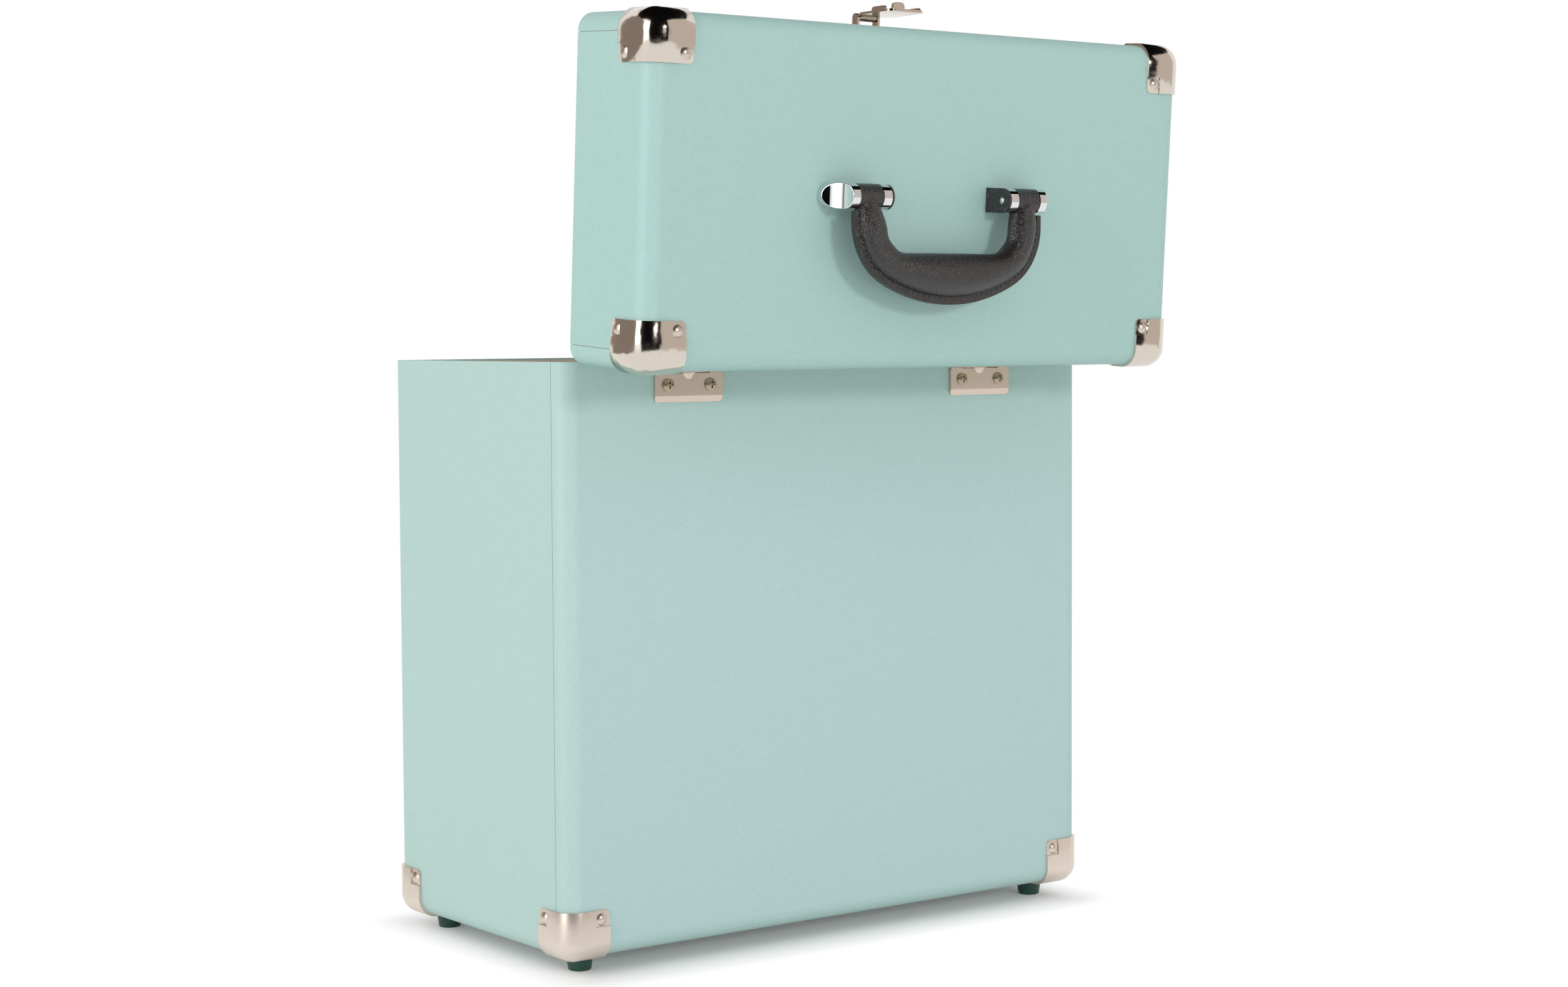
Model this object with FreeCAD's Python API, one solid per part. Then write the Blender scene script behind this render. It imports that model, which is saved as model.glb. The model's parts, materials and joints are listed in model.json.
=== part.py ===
import FreeCAD, Part
import math
import os

# Record box: a covered board case with a hinged lid, metal corners, rubber feet, a swing handle and a hasp.
# Millimetres. The floor is z = 0, the middle of the footprint is the origin, the hinges are at +Y.
# The lid is drawn shut and then swung open about its hinges, as it stands in use.

V = FreeCAD.Vector
ORIGIN = V(0, 0, 0)
X_AXIS = V(1, 0, 0)
Y_AXIS = V(0, 1, 0)
Z_AXIS = V(0, 0, 1)
TINY = 1e-6

# Case outside
case_w = 350.0          # over the sides
case_d = 173.0          # front to back
box_h = 303.2           # underside of the box to its rim
lid_h = 62.8            # rim of the lid to its top
rim_gap = 0.5           # between the two rims when shut
foot_h = 9.0            # underside of the box above the floor
edge_r = 9.5            # rounding of the outer edges
open_angle = 93.7       # swing of the lid from shut to its stop

# Wall build-up
cover_t = 0.7           # leatherette
panel_t = 9.0           # board
lining_t = 0.6          # lining
seam_flat = 0.4         # seam past the end of the rounded edge
seam_gap = 0.35         # open line between two cover sheets
hole_clear = 0.05       # round a fixed pin, rivet or screw

# Corner plates and their rivets
plate_t = 1.5           # raised part of the plate
plate_reach = 25.3      # along each face from the corner
pocket_t = 0.7          # plate under a rivet head
pocket_w = 8.6          # square pocket round a rivet
pocket_corner_r = 3.0   # its free corner
rivet_in = 20.4         # rivet centre from each face
rivet_head_r = 3.2
rivet_head_h = 1.3
rivet_shank_r = 1.5
rivet_shank_l = 6.0

# Feet
foot_top_r = 7.0
foot_low_r = 5.9
foot_round = 0.9        # rounding of the standing edge
foot_sink_r = 3.9       # counterbore for the screw head
foot_sink = 3.6

# Screws with a cross recess
screw_head_r = 3.4
screw_head_h = 2.0
screw_rim_h = 0.8       # straight part of the head
screw_shank_r = 1.6
screw_shank_l = 8.0
recess_w = 0.9
recess_l = 3.8
recess_depth = 0.9

# Hinges
hinge_x = 98.6          # hinge middle from the middle of the case
leaf_w = 42.4
leaf_t = 1.8
leaf_edge_t = 0.7       # at the bevelled edge
hem_h = 3.2             # height of the bevel
leaf_corner_r = 2.0
leaf_top_r = 1.0
box_leaf_drop = 21.2    # lower edge of the box leaf below the rim
lid_leaf_rise = 17.0    # upper edge of the lid leaf above the lid's rim
pin_out = 3.2           # hinge axis behind the back face
pin_drop = 3.9          # hinge axis below the rim of the box
pin_r = 1.1
barrel_r = 2.2
knuckle_count = 5
knuckle_gap = 0.3
leaf_clear = 0.4        # leaf to the other leaf's knuckles
running_clear = 0.05    # pin in a turning bore
leaf_screw_x = 13.2     # screw from the middle of the leaf
box_screw_drop = 12.4   # box screws below the rim
lid_screw_rise = 10.5   # lid screws above the lid's rim
dome_r = 3.8            # pressed dome at the top of the box leaf
dome_h = 1.6
dome_drop = 5.7         # dome centre below the rim

# Handle
pivot_h = 12.6          # handle axis above the lid
pivot_forward = 1.0     # handle axis in front of the middle of the lid
mount_half_w = 6.4
mount_in_x = 38.2       # inner end of a mount
ring_end_x = 44.6       # ring up to the grip's loop
loop_l = 14.3           # grip's loop along its pin
loop_clear = 0.3        # loop to the mount on each side
mount_out_x = 72.5      # outer end of a mount
scoop_top_x = 64.1      # where the scooped end starts on the crest
scoop_foot_h = 3.5      # upright wall left under the scoop
scoop_r = 28.0
scoop_rim_r = 0.4       # rounding of the scoop's rim
mount_base_t = 2.0
ring_t = 1.0
plug_face_t = 1.3
handle_pin_r = 2.0
handle_pin_seat = 4.0   # pin into the outer post and the plug
pin_tip_r = 1.0         # tip of the pin through the plug's face
pin_head_r = 1.7        # its headed end
pin_head_h = 0.7
loop_r = 6.3
grip_out = 2.4          # middle plane of the grip outward of its axis
grip_half_w = 61.8      # over the welt, at the arms
grip_drop = 53.7        # lowest point of the welt below the axis
welt_start = 7.3        # top of the welt below the axis
welt_t = 2.6
welt_depth = 8.0        # welt from its edge into the grip
welt_show = 3.8         # welt outside the round of the grip
groove_in = 2.7         # stitching groove from the welt's edge
groove_w = 0.7
groove_depth = 0.4
arm_straight = 13.0     # start of the welt's bend below the axis
bend_r = 34.0           # outer bend of the welt
finger_half_w = 41.6    # opening for the fingers, from the middle to an arm
finger_drop = 27.6      # its lower side below the axis
finger_r = 13.0         # its lower corners
arm_half_t = 6.2
grip_half_t = 8.7       # middle of the grip, front to back
neck_half_t = 6.0       # arm where it meets the loop
neck_drop = 2.0
neck_out = 0.48         # middle of the neck in front of the pivot
swing_clear = 1.0       # grip to the mounts while it turns

# Latch
hasp_stand = 7.0        # hasp axis in front of the lid's front wall
hasp_axis_rise = 5.5    # hasp axis above the lid's rim
hasp_open = 176.3       # swing from shut to thrown back
base_half_w = 9.0
base_t = 1.2
base_low = 1.0          # lower edge of the base above the lid's rim
base_top = 17.0         # upper edge
base_corner_r = 2.5
lug_x = 7.5             # outer face of a lug
lug_t = 1.5
lug_r = 2.2
latch_pin_r = 0.9
hasp_barrel_r = 1.9
hasp_set = 0.15         # outer face of the hasp from its axis, toward the wall
hasp_t = 1.2
hasp_half_w = 12.0
hasp_l = 34.5           # axis to the free end
hasp_shoulder = 6.5     # full width starts here
hasp_corner_r = 4.0
ear_l = 11.0            # raised side edges, from the free end
ear_h = 1.9
ear_r = 1.8
tongue_at = 26.4        # tongue from the axis
tongue_half_w = 3.8
tongue_t = 1.5
tongue_tip_gap = 1.25   # tip of the tongue to the box, shut
tongue_r = 2.2          # corners of its tip
keeper_side_clear = 1.0  # keeper inside the hasp's raised edges
keeper_t = 3.6
keeper_rise = 8.4       # upper edge above the slot
keeper_fall = 11.6      # lower edge below the slot
keeper_corner_r = 4.0
keeper_edge_r = 1.0
slot_clear = 0.9        # round the tongue
small_rivet_r = 1.8
small_rivet_h = 0.9
small_shank_r = 1.0
small_shank_l = 5.0
base_rivet_x = 4.5
base_rivet_rise = 13.2
keeper_rivet_x = 7.1

# Worked out from the sizes above
rim_z = foot_h + box_h
lid_rim_z = rim_z + rim_gap
lid_top_z = lid_rim_z + lid_h
side_x = case_w / 2
back_y = case_d / 2
core_w = case_w - 2 * cover_t
core_d = case_d - 2 * cover_t
core_r = edge_r - cover_t
seam_in = edge_r + seam_flat
pin_y = back_y + pin_out
pin_z = rim_z - pin_drop
pivot_z = lid_top_z + pivot_h
hasp_past = math.radians(max(0.0, hasp_open - 180))
hasp_crank = hasp_l * math.tan(hasp_past / 2)
hasp_y = -back_y - hasp_stand - hasp_crank
hasp_outer_y = hasp_y + hasp_crank + hasp_set
hasp_inner_y = hasp_outer_y + hasp_t
hasp_z = lid_rim_z + hasp_axis_rise
slot_z = hasp_z - tongue_at
far = case_w + case_d + box_h


def block(x, y, z):
    """Box between two limits on each axis, in either order."""
    low = V(min(x), min(y), min(z))
    size = V(max(x), max(y), max(z)) - low
    return Part.makeBox(size.x, size.y, size.z, low)


def rod(radius, start, end):
    """Cylinder from one point to another."""
    along = end - start
    return Part.makeCylinder(radius, along.Length, start, along)


def prism(points, along):
    """Straight-sided profile pushed along a vector."""
    wire = Part.makePolygon(points + points[:1])
    return Part.Face(wire).extrude(along)


def rounded_edges(solid, radius, wanted):
    """Solid with the chosen straight edges rounded."""
    return solid.makeFillet(radius, [edge for edge in solid.Edges if wanted(edge)])


def runs_along(edge, axis):
    start, end = (vertex.Point for vertex in edge.Vertexes)
    return (end - start).cross(axis).Length < TINY


def mirrored(shape, normal):
    return shape.mirror(ORIGIN, normal)


def group(solids):
    return Part.makeCompound(solids)


def swung(shape, point, angle):
    """Copy turned about an axis along X through a point."""
    copy = shape.copy()
    copy.rotate(point, X_AXIS, angle)
    return copy


def opened(shape):
    """Lid piece, drawn shut, swung open about the hinges."""
    return swung(shape, V(0, pin_y, pin_z), -open_angle)


# Fasteners, drawn with the head on the plane z = 0 and the shank below it

def dome(radius, height):
    """Spherical cap on the plane z = 0."""
    ball_r = (radius ** 2 + height ** 2) / (2 * height)
    ball = Part.makeSphere(ball_r, V(0, 0, height - ball_r))
    return ball.common(block((-radius, radius), (-radius, radius), (0, height)))


def rivet(head_r, head_h, shank_r, shank_l):
    return dome(head_r, head_h).fuse(rod(shank_r, V(0, 0, -shank_l), ORIGIN)).removeSplitter()


def screw(shank_l):
    """Pan head with a cross recess."""
    crown = dome(screw_head_r, screw_head_h - screw_rim_h)
    crown.translate(V(0, 0, screw_rim_h))
    head = crown.fuse(rod(screw_head_r, ORIGIN, V(0, 0, screw_rim_h))).removeSplitter()
    floor = screw_head_h - recess_depth
    for length, width in ((recess_l, recess_w), (recess_w, recess_l)):
        head = head.cut(block((-length / 2, length / 2), (-width / 2, width / 2), (floor, screw_head_h)))
    return head.fuse(rod(screw_shank_r, V(0, 0, -shank_l), ORIGIN))


def set_at(shape, place, outward):
    """Fastener moved so that its head faces outward at a place."""
    copy = shape.copy()
    copy.Placement = FreeCAD.Placement(place, FreeCAD.Rotation(Z_AXIS, outward))
    return copy


def holes(places, radius, depth, head_room):
    """Drillings for fasteners: each place is a point on the seat and the outward direction."""
    return group([
        rod(radius + hole_clear, place - outward * depth, place + outward * head_room)
        for place, outward in places
    ])


# Board tub with cover and lining; the same build serves the box and the lid

def soft_block(width, depth, rim, end, radius):
    """Box from an open rim to a closed end, with round upright edges and a round closed end."""
    body = block((-width / 2, width / 2), (-depth / 2, depth / 2), (rim, end))

    def off_rim(edge):
        return any(abs(vertex.Z - rim) > TINY for vertex in edge.Vertexes)

    return rounded_edges(body, radius, off_rim)


def tub(rim, end):
    """Panels, skin and lining of one half of the case, from its rim to its closed end."""
    inward = 1 if end > rim else -1
    core_rim = rim + inward * cover_t
    core_end = end - inward * cover_t
    floor = core_end - inward * panel_t
    half_w = core_w / 2
    half_d = core_d / 2
    inner_w = half_w - panel_t
    inner_d = half_d - panel_t
    clear_w = inner_w - lining_t
    clear_d = inner_d - lining_t

    core = soft_block(core_w, core_d, core_rim, core_end, core_r)
    wall = (core_rim, floor)
    blanks = {
        "end": block((-half_w, half_w), (-half_d, half_d), (floor, core_end)),
        "front": block((-half_w, half_w), (-half_d, -inner_d), wall),
        "back": block((-half_w, half_w), (inner_d, half_d), wall),
        "left": block((-half_w, -inner_w), (-inner_d, inner_d), wall),
        "right": block((inner_w, half_w), (-inner_d, inner_d), wall),
    }
    panels = {name: blank.common(core) for name, blank in blanks.items()}

    cavity = block((-clear_w, clear_w), (-clear_d, clear_d), (rim - inward * far, floor - inward * lining_t))
    lining = block((-inner_w, inner_w), (-inner_d, inner_d), wall).cut(cavity)
    skin = soft_block(case_w, case_d, rim, end, edge_r).cut(core).cut(cavity)
    skin = skin.cut(lining)
    return panels, skin, lining


def behind(y, z=(-far, far)):
    """Everything behind a plane across the case."""
    return block((-far, far), (y, far), z)


def before(y, z=(-far, far)):
    """Everything in front of a plane across the case."""
    return block((-far, far), (-far, y), z)


# Corner plates, drawn in a corner whose three case faces are the planes x, y and z = 0

def about_corner(shape, turns):
    """Feature drawn on the face x = 0, carried on to the next faces round the corner."""
    copy = shape.copy()
    copy.rotate(ORIGIN, V(1, 1, 1), 120 * turns)
    return copy


def corner_plate(pocket_count):
    """Pressed three-way corner with sunk rivet pockets at the free corner of each riveted face."""
    depth = 2 * plate_reach

    def corner(offset):
        cube = block((-offset, depth), (-offset, depth), (-offset, depth))

        def at_corner(edge):
            return sum(abs(edge.CenterOfMass[axis] + offset) < TINY for axis in range(3)) == 2

        return rounded_edges(cube, edge_r + offset, at_corner)

    limits = (-plate_t, plate_reach)
    plate = corner(plate_t).cut(corner(0.0)).common(block(limits, limits, limits))
    low = plate_reach - pocket_w
    pocket = block((-2 * plate_t, -pocket_t), (low, plate_reach), (low, plate_reach))
    turn = plate_reach - pocket_corner_r
    across = (-2 * plate_t, edge_r / 2)
    waste = block(across, (turn, plate_reach), (turn, plate_reach))
    waste = waste.cut(rod(pocket_corner_r, V(across[0], turn, turn), V(across[1], turn, turn)))
    for face in range(3):
        plate = plate.cut(about_corner(waste, face))
        if face < pocket_count:
            plate = plate.cut(about_corner(pocket, face))
    return plate


def seat_in_corner(face, depth):
    """Point on a riveted face of a corner and its outward direction, in the corner's frame."""
    turn = FreeCAD.Rotation(V(1, 1, 1), 120 * face)
    return turn.multVec(V(-depth, rivet_in, rivet_in)), turn.multVec(V(-1, 0, 0))


CORNERS = {"front_left": (-1, -1), "front_right": (1, -1), "back_left": (-1, 1), "back_right": (1, 1)}


def to_corner(point, signs, end_z, up, is_direction=False):
    """Corner-frame point or direction taken to one corner of the case."""
    place = V(-signs[0] * point.x, -signs[1] * point.y, up * point.z)
    if is_direction:
        return place
    return place + V(signs[0] * side_x, signs[1] * back_y, end_z)


def plate_at(plate, signs, end_z, up):
    """Corner plate mirrored and moved to one corner of the case."""
    copy = plate.copy()
    for sign, normal in ((-signs[0], X_AXIS), (-signs[1], Y_AXIS), (up, Z_AXIS)):
        if sign < 0:
            copy = mirrored(copy, normal)
    copy.translate(V(signs[0] * side_x, signs[1] * back_y, end_z))
    return copy


def corner_set(end_z, up, riveted_faces):
    """Four plates at a closed end of the case, with the seats of their rivets."""
    plate = corner_plate(riveted_faces)
    plates = {}
    seats = []
    for name, signs in CORNERS.items():
        own = []
        for face in range(riveted_faces):
            point, outward = seat_in_corner(face, pocket_t)
            own.append((to_corner(point, signs, end_z, up), to_corner(outward, signs, end_z, up, True)))
        drill = holes(own, rivet_shank_r, rivet_shank_l, plate_t)
        plates[name] = plate_at(plate, signs, end_z, up).cut(drill)
        seats += own
    return plates, seats


# Feet

def foot(place):
    """Tapered foot standing on the floor under a corner plate, sunk for its screw."""
    height = foot_h - plate_t
    taper = Part.makeCone(foot_low_r, foot_top_r, height)
    taper = taper.makeFillet(foot_round, [edge for edge in taper.Edges if edge.CenterOfMass.z < TINY])
    taper = taper.cut(rod(foot_sink_r, ORIGIN, V(0, 0, foot_sink)))
    taper = taper.cut(rod(screw_shank_r + hole_clear, ORIGIN, V(0, 0, height)))
    taper.translate(place)
    return taper


# Hinges, drawn shut at the middle of the case and then set out to each side

def knuckle_span(index):
    """Limits of one knuckle along the pin, with half a gap at each inner end."""
    width = leaf_w / knuckle_count
    start = -leaf_w / 2 + index * width
    first = knuckle_gap / 2 if index > 0 else 0.0
    last = knuckle_gap / 2 if index < knuckle_count - 1 else 0.0
    return start + first, start + width - last


def knuckles(first, root_y, root_end):
    """Every second knuckle of a hinge with its root."""
    pieces = []
    for index in range(first, knuckle_count, 2):
        x0, x1 = knuckle_span(index)
        pieces.append(rod(barrel_r, V(x0, pin_y, pin_z), V(x1, pin_y, pin_z)))
        pieces.append(block((x0, x1), (root_y, back_y + leaf_t), (pin_z, root_end)))
    return pieces


def leaf_plate(edge_z, knuckle_z):
    """Flat leaf with a bevelled free edge and rounded corners."""
    toward = 1 if knuckle_z > edge_z else -1
    half = leaf_w / 2
    profile = [
        V(-half, back_y, edge_z),
        V(-half, back_y + leaf_edge_t, edge_z),
        V(-half, back_y + leaf_t, edge_z + toward * hem_h),
        V(-half, back_y + leaf_t, knuckle_z),
        V(-half, back_y, knuckle_z),
    ]
    plate = prism(profile, V(leaf_w, 0, 0))
    outline = block((-half, half), (back_y, back_y + leaf_t), (edge_z, knuckle_z))

    def corners_at(level):
        return lambda edge: runs_along(edge, Y_AXIS) and abs(edge.CenterOfMass.z - level) < TINY

    outline = rounded_edges(outline, leaf_corner_r, corners_at(edge_z))
    outline = rounded_edges(outline, leaf_top_r, corners_at(knuckle_z))
    return plate.common(outline)


def hinge_bore(radius):
    return rod(radius, V(-leaf_w, pin_y, pin_z), V(leaf_w, pin_y, pin_z))


def leaf_seats(level):
    """Seats of a leaf's two screws at the middle of the case."""
    return [(V(x, back_y + leaf_t, level), Y_AXIS) for x in (-leaf_screw_x, leaf_screw_x)]


def finish_leaf(plate, extras, bore_r, level):
    leaf = plate.fuse(extras).removeSplitter().cut(hinge_bore(bore_r))
    return leaf.cut(holes(leaf_seats(level), screw_shank_r, screw_shank_l, dome_h))


def box_leaf():
    top = pin_z - barrel_r - leaf_clear
    plate = leaf_plate(rim_z - box_leaf_drop, top)
    face = back_y + leaf_t
    bump = set_at(dome(dome_r, dome_h), V(0, face, rim_z - dome_drop), Y_AXIS)
    bump_foot = rod(dome_r, V(0, back_y, rim_z - dome_drop), V(0, face, rim_z - dome_drop))
    extras = knuckles(0, back_y, top) + [bump, bump_foot]
    return finish_leaf(plate, extras, pin_r + hole_clear, rim_z - box_screw_drop)


def lid_leaf():
    plate = leaf_plate(lid_rim_z + lid_leaf_rise, lid_rim_z)
    extras = knuckles(1, back_y + leaf_clear, lid_rim_z + leaf_t)
    return finish_leaf(plate, extras, pin_r + running_clear, lid_rim_z + lid_screw_rise)


def at_hinge(shape, side):
    copy = shape.copy()
    copy.translate(V(side * hinge_x, 0, 0))
    return copy


def both_hinges(seats):
    return [(place + V(side * hinge_x, 0, 0), outward) for side in (-1, 1) for place, outward in seats]


# Handle mounts, drawn shut on the +X side of the lid's top

def arch(x0, x1, half_w, base_z):
    """Upright-sided bar with a half-round crest over the handle's axis."""
    crest = pivot_z + half_w
    low_left = V(x0, -half_w, base_z)
    low_right = V(x0, half_w, base_z)
    spring_right = V(x0, half_w, pivot_z)
    spring_left = V(x0, -half_w, pivot_z)
    edges = [
        Part.makeLine(low_left, low_right),
        Part.makeLine(low_right, spring_right),
        Part.Arc(spring_right, V(x0, 0, crest), spring_left).toShape(),
        Part.makeLine(spring_left, low_left),
    ]
    return Part.Face(Part.Wire(edges)).extrude(V(x1 - x0, 0, 0))


def scoop_centre():
    """Middle of the round that passes through the crest and the top of the outer end wall."""
    crest = V(scoop_top_x, 0, pivot_z + mount_half_w)
    foot_top = V(mount_out_x, 0, lid_top_z + scoop_foot_h)
    chord = foot_top - crest
    outward = V(-chord.z, 0, chord.x).normalize()
    return (crest + foot_top) / 2 + outward * math.sqrt(scoop_r ** 2 - (chord.Length / 2) ** 2)


def mount():
    """Chrome mount: scooped outer post, flat base under the grip's loop, and inner ring."""
    ring_x = mount_in_x + plug_face_t
    post_x = ring_end_x + loop_l + 2 * loop_clear
    bend_x = mount_out_x - mount_half_w
    whole = arch(post_x, mount_out_x, mount_half_w, lid_top_z)
    base = block((ring_x, mount_out_x), (-mount_half_w, mount_half_w), (lid_top_z, lid_top_z + mount_base_t))
    plan = block((0, bend_x), (-mount_half_w, mount_half_w), (lid_top_z, lid_top_z + far))
    plan = plan.fuse(rod(mount_half_w, V(bend_x, 0, lid_top_z), V(bend_x, 0, lid_top_z + far)))

    centre = scoop_centre()
    across = V(0, 2 * mount_half_w, 0)
    post = whole.common(plan).removeSplitter().cut(rod(scoop_r, centre - across, centre + across))

    def on_scoop(edge):
        return all(abs((vertex.Point - centre).cross(Y_AXIS).Length - scoop_r) < TINY for vertex in edge.Vertexes)

    post = rounded_edges(post, scoop_rim_r, on_scoop)
    ring = arch(ring_x, ring_end_x, mount_half_w, lid_top_z)
    body = post.fuse([base.common(plan), ring])
    body = body.cut(arch(ring_x, ring_end_x, mount_half_w - ring_t, lid_top_z + mount_base_t))
    body = body.cut(rod(handle_pin_r + hole_clear, V(post_x, 0, pivot_z), V(post_x + handle_pin_seat, 0, pivot_z)))
    return body.removeSplitter()


def plug():
    """Textured end plug: full-section face and a body inside the ring."""
    face = arch(mount_in_x, mount_in_x + plug_face_t, mount_half_w, lid_top_z)
    body = arch(mount_in_x + plug_face_t, ring_end_x, mount_half_w - ring_t - hole_clear, lid_top_z + mount_base_t)
    seat = rod(handle_pin_r + hole_clear, V(ring_end_x - handle_pin_seat, 0, pivot_z), V(ring_end_x, 0, pivot_z))
    tip_hole = rod(pin_tip_r + hole_clear, V(mount_in_x, 0, pivot_z), V(ring_end_x, 0, pivot_z))
    return face.fuse(body).removeSplitter().cut([seat, tip_hole])


def handle_pin():
    """Pivot pin, stepped down to a tip that is headed over on the plug's face."""
    start = V(ring_end_x - handle_pin_seat, 0, pivot_z)
    end = V(ring_end_x + loop_l + 2 * loop_clear + handle_pin_seat, 0, pivot_z)
    face = V(mount_in_x, 0, pivot_z)
    head = set_at(dome(pin_head_r, pin_head_h), face, -X_AXIS)
    return rod(handle_pin_r, start, end).fuse([rod(pin_tip_r, face, start), head]).removeSplitter()


def on_lid_top(shape):
    """Handle fitting moved from the middle of the lid to its place a little forward."""
    copy = shape.copy()
    copy.translate(V(0, -pivot_forward, 0))
    return copy


# Grip, drawn as it hangs plumb from the open lid: x across, drop below the axis

def handle_axis():
    """A point on the handle's axis, with the lid open."""
    swing = FreeCAD.Rotation(X_AXIS, -open_angle)
    hinge = V(0, pin_y, pin_z)
    return hinge + swing.multVec(V(0, -pivot_forward, pivot_z) - hinge)


def outline_rounds(inset):
    """Bend and foot of the welt's outline, inset: middles across and down, radii, and the turn where they meet."""
    bend = bend_r - inset
    bend_x = grip_half_w - bend_r
    rise = grip_drop - inset - arm_straight
    foot_r = (bend_x ** 2 + rise ** 2 - bend ** 2) / (2 * (rise - bend))
    foot_drop = grip_drop - inset - foot_r
    turn = math.atan2(arm_straight - foot_drop, bend_x)
    return bend_x, bend, foot_drop, foot_r, turn


def welt_face(axis, inset):
    """Flat U whose straight arms run into round bends and a shallow curved foot."""
    half = grip_half_w - inset
    drop = grip_drop - inset
    bend_x, bend, foot_drop, foot_r, turn = outline_rounds(inset)

    def at(x, low):
        return axis + V(x, grip_out, -low)

    def on_bend(side, angle):
        return at(side * (bend_x + bend * math.cos(angle)), arm_straight + bend * math.sin(angle))

    edges = [
        Part.makeLine(at(-half, welt_start), at(half, welt_start)),
        Part.makeLine(at(half, welt_start), at(half, arm_straight)),
        Part.Arc(at(half, arm_straight), on_bend(1, turn / 2), on_bend(1, turn)).toShape(),
        Part.Arc(on_bend(1, turn), at(0, drop), on_bend(-1, turn)).toShape(),
        Part.Arc(on_bend(-1, turn), on_bend(-1, turn / 2), at(-half, arm_straight)).toShape(),
        Part.makeLine(at(-half, arm_straight), at(-half, welt_start)),
    ]
    return Part.Face(Part.Wire(edges))


def grip_section(axis, x, out, drop, turn, half_w, half_t):
    """Oval section of the grip, square to its middle line."""
    centre = axis + V(x, out, -drop)
    outward = V(math.cos(turn), 0, -math.sin(turn))
    oval = Part.Ellipse(centre + outward * half_w, centre + Y_AXIS * half_t, centre)
    return Part.Wire([oval.toShape()])


def far_side(start, along, middle, radius):
    """How far a line runs from a point inside a round to its far side, in the plane of the grip."""
    reach = middle - start
    ahead = reach.dot(along)
    return ahead + math.sqrt(radius ** 2 - reach.dot(reach) + ahead ** 2)


def grip_wall(x, drop, turn):
    """Distance along a line from a point in the finger opening to the outer side of the grip's round."""
    bend_x, bend, foot_drop, foot_r, meet = outline_rounds(welt_show)
    start = V(x, 0, drop)
    along = V(math.cos(turn), 0, math.sin(turn))
    reach = far_side(start, along, V(0, 0, foot_drop), foot_r)
    if (start + along * reach).x > foot_r * math.cos(meet):
        reach = far_side(start, along, V(bend_x, 0, arm_straight), bend)
    return reach


def grip_stations():
    """Half of the grip from the loop to the middle: place across, out and down, turn and half sizes.

    The round of the grip fills the space between the finger opening and the welt, on lines that fan out
    from the middle of the opening's rounded corner and then run straight down.
    """
    corner_x = finger_half_w - finger_r
    corner_drop = finger_drop - finger_r
    lines = [(corner_x, share / 3 * math.pi / 2) for share in range(4)]
    lines += [(corner_x / 2, math.pi / 2), (0.0, math.pi / 2)]
    stations = []
    for count, (x, turn) in enumerate(lines):
        outer = grip_wall(x, corner_drop, turn)
        middle = (finger_r + outer) / 2
        swell = math.sin(count / (len(lines) - 1) * math.pi / 2) ** 2
        stations.append((
            x + middle * math.cos(turn),
            grip_out,
            corner_drop + middle * math.sin(turn),
            turn,
            (outer - finger_r) / 2,
            arm_half_t + swell * (grip_half_t - arm_half_t),
        ))
    neck = (ring_end_x + loop_clear + loop_l / 2, neck_out, neck_drop, 0.0, loop_l / 2 - loop_clear, neck_half_t)
    upper_arm = tuple((one + other) / 2 for one, other in zip(neck, stations[0]))
    return [neck, upper_arm] + stations


def grip():
    """Moulded grip: swelling oval bar, two loops and the flat welt round its outer edge."""
    axis = handle_axis()
    half = grip_stations()
    sections = [grip_section(axis, *station) for station in half]
    for x, out, drop, turn, half_w, half_t in reversed(half[:-1]):
        sections.append(grip_section(axis, -x, out, drop, math.pi - turn, half_w, half_t))
    body = Part.makeLoft(sections, True, False)

    welt = welt_face(axis, 0.0).cut(welt_face(axis, welt_depth)).extrude(V(0, welt_t, 0))
    welt.translate(V(0, -welt_t / 2, 0))
    groove = welt_face(axis, groove_in).cut(welt_face(axis, groove_in + groove_w))
    for side in (-1, 1):
        cutter = groove.extrude(V(0, side * groove_depth, 0))
        cutter.translate(V(0, side * (welt_t / 2 - groove_depth), 0))
        welt = welt.cut(cutter)
    loops = []
    bores = []
    rooms = []
    for side in (-1, 1):
        start = axis + V(side * (ring_end_x + loop_clear), 0, 0)
        end = start + V(side * loop_l, 0, 0)
        loops.append(rod(loop_r, start, end))
        bores.append(rod(handle_pin_r + running_clear, start, end))
        for face, outward in ((start, -side), (end, side)):
            rooms.append(rod(mount_half_w + swing_clear, face, face + V(outward * loop_l, 0, 0)))
    return body.fuse(loops + [welt]).cut(bores + rooms)


# Latch, drawn shut on the lid's front wall

def latch_base():
    """Base plate with two lugs for the hasp's pin."""
    wall = -back_y
    plate = block((-base_half_w, base_half_w), (wall - base_t, wall), (lid_rim_z + base_low, lid_rim_z + base_top))
    plate = rounded_edges(plate, base_corner_r, lambda edge: runs_along(edge, Y_AXIS))
    lugs = []
    for side in (-1, 1):
        outer = side * lug_x
        inner = side * (lug_x - lug_t)
        lugs.append(rod(lug_r, V(inner, hasp_y, hasp_z), V(outer, hasp_y, hasp_z)))
        lugs.append(block((inner, outer), (hasp_y, wall), (hasp_z - lug_r, hasp_z + lug_r)))
    bore = rod(latch_pin_r + hole_clear, V(-lug_x, hasp_y, hasp_z), V(lug_x, hasp_y, hasp_z))
    base = plate.fuse(lugs).removeSplitter().cut(bore)
    return base.cut(holes(base_rivet_seats(), small_shank_r, small_shank_l, base_t))


def base_rivet_seats():
    level = lid_rim_z + base_rivet_rise
    return [(V(x, -back_y - base_t, level), -Y_AXIS) for x in (-base_rivet_x, base_rivet_x)]


def latch_pin():
    return rod(latch_pin_r, V(-lug_x, hasp_y, hasp_z), V(lug_x, hasp_y, hasp_z))


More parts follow.
